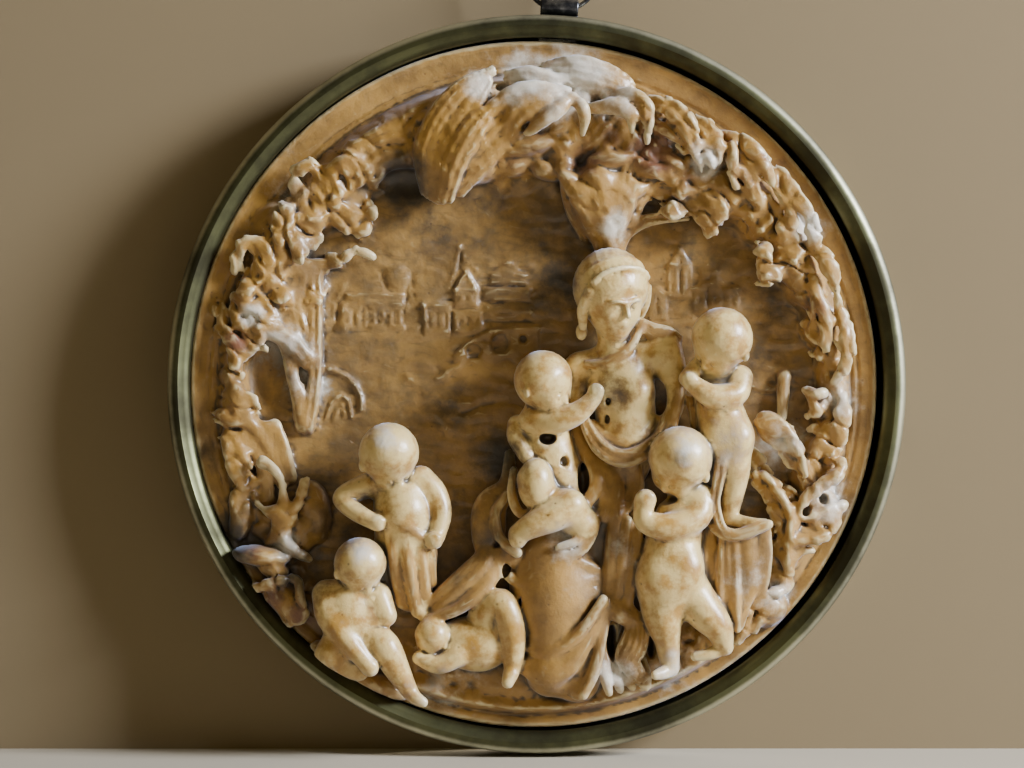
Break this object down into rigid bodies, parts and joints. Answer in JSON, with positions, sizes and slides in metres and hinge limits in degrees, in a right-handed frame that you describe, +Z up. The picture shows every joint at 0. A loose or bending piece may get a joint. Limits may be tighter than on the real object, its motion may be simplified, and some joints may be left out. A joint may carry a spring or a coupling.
{
  "type": "round clay relief plaque",
  "caption": "Round clay relief of a seated woman with children under trees, in a shallow brass frame with a strap and a swinging hanging ring.",
  "frame": {"origin": "centre of the flat back of the frame, which lies against the wall", "axes": "+Z up as hung, the relief faces -Y and the back faces +Y, +X to the viewer's right"},
  "size_m": [0.12, 0.0213, 0.1338],
  "materials": {
    "frame": "tarnished, with bright worn edges",
    "clay": "stained pipe clay, waxy on the high points",
    "hanger": "dark, worn"
  },
  "bodies": {
    "plaque": {"brass_frame": "frame", "clay_relief": "clay", "hanger_strap": "hanger"},
    "ring": {"hanging_ring": "hanger"}
  },
  "joints": [
    {"name": "ring_swing", "type": "hinge", "parent": "plaque", "child": "ring", "pos_m": [0.00377, -0.006, 0.06163], "axis": [0.9981, 0, -0.061], "range_deg": [-95, 95]}
  ]
}
